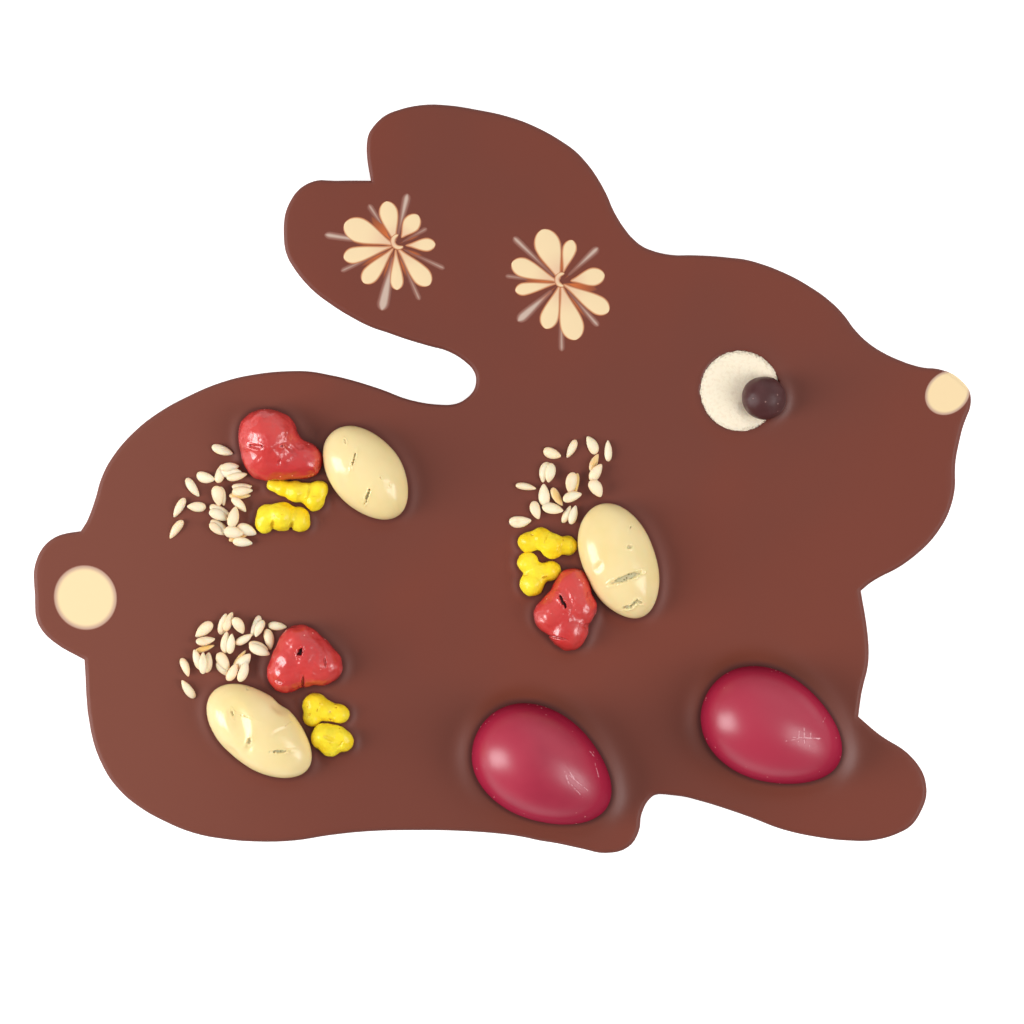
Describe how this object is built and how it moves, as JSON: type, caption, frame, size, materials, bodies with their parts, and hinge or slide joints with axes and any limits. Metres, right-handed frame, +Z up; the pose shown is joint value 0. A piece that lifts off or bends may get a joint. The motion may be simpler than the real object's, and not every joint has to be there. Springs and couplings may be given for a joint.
{
  "type": "chocolate bunny",
  "caption": "Flat slab of milk chocolate shaped as a sitting bunny seen from the side, topped with sugar eggs, candies, crunchy pieces, sesame seeds and marbled flowers, to eat.",
  "frame": {"origin": "on the underside, below the middle of the slab's length and width", "axes": "+X towards the nose, +Y towards the ears, +Z up through the decorated face"},
  "size_m": [0.1551, 0.1238, 0.0188],
  "materials": {
    "milk_chocolate": "satin",
    "crimson_glaze": "satin",
    "cream_glaze": "gloss",
    "red_glaze": "gloss",
    "yellow_glaze": "gloss",
    "white_chocolate": "satin",
    "sugar_paste": "matt",
    "dark_chocolate": "satin"
  },
  "bodies": {
    "root": {"chocolate_slab": "milk_chocolate", "egg_belly": "crimson_glaze", "egg_chest": "crimson_glaze", "cream_candy_back": "cream_glaze", "cream_candy_rump": "cream_glaze", "cream_candy_shoulder": "cream_glaze", "red_crunch_back": "red_glaze", "red_crunch_rump": "red_glaze", "red_crunch_shoulder": "red_glaze", "yellow_crunch_back_upper": "yellow_glaze", "yellow_crunch_back_lower": "yellow_glaze", "yellow_crunch_rump_upper": "yellow_glaze", "yellow_crunch_rump_lower": "yellow_glaze", "yellow_crunch_shoulder_upper": "yellow_glaze", "yellow_crunch_shoulder_lower": "yellow_glaze", "eye_disc": "sugar_paste", "eye_pearl": "dark_chocolate", "tail_dot": "white_chocolate", "nose_dot": "white_chocolate"}
  },
  "joints": []
}
